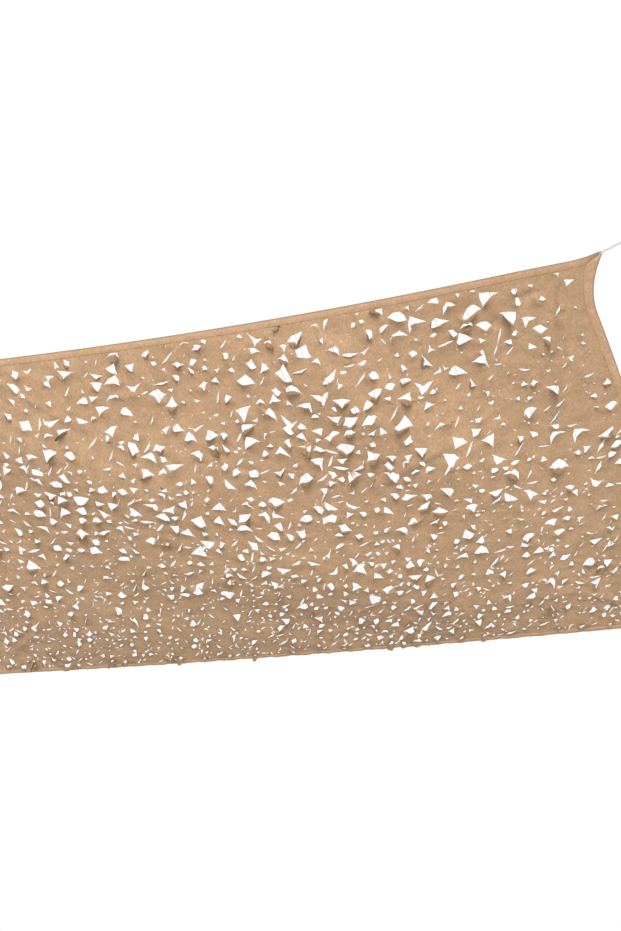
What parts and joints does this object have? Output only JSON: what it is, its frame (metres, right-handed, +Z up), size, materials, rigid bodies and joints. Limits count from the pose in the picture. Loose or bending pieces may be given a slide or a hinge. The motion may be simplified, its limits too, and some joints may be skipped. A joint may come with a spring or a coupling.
{
  "type": "shade sail",
  "caption": "Rectangular shade sail of leaf-cut netting cloth with folded edge bindings, hung in a shallow sag by a looped rope at each corner.",
  "frame": {"origin": "middle of the sail's own box, its ropes not counted", "axes": "+X along the near edge to the right, +Y away from the viewer to the far edge, +Z up"},
  "size_m": [4.6354, 2.7216, 0.2246],
  "materials": {
    "netting_cloth": "matt sand-coloured woven cloth with leaf cuts",
    "binding_tape": "matt sand-coloured folded tape",
    "rope": "laid off-white rope"
  },
  "bodies": {
    "root": {"net": "netting_cloth", "binding_near": "binding_tape", "binding_right": "binding_tape", "binding_far": "binding_tape", "binding_left": "binding_tape", "rope_near_right": "rope", "knot_near_right": "rope", "loop_near_right": "rope", "rope_far_right": "rope", "knot_far_right": "rope", "loop_far_right": "rope", "rope_far_left": "rope", "knot_far_left": "rope", "loop_far_left": "rope", "rope_near_left": "rope", "knot_near_left": "rope", "loop_near_left": "rope"}
  },
  "joints": []
}
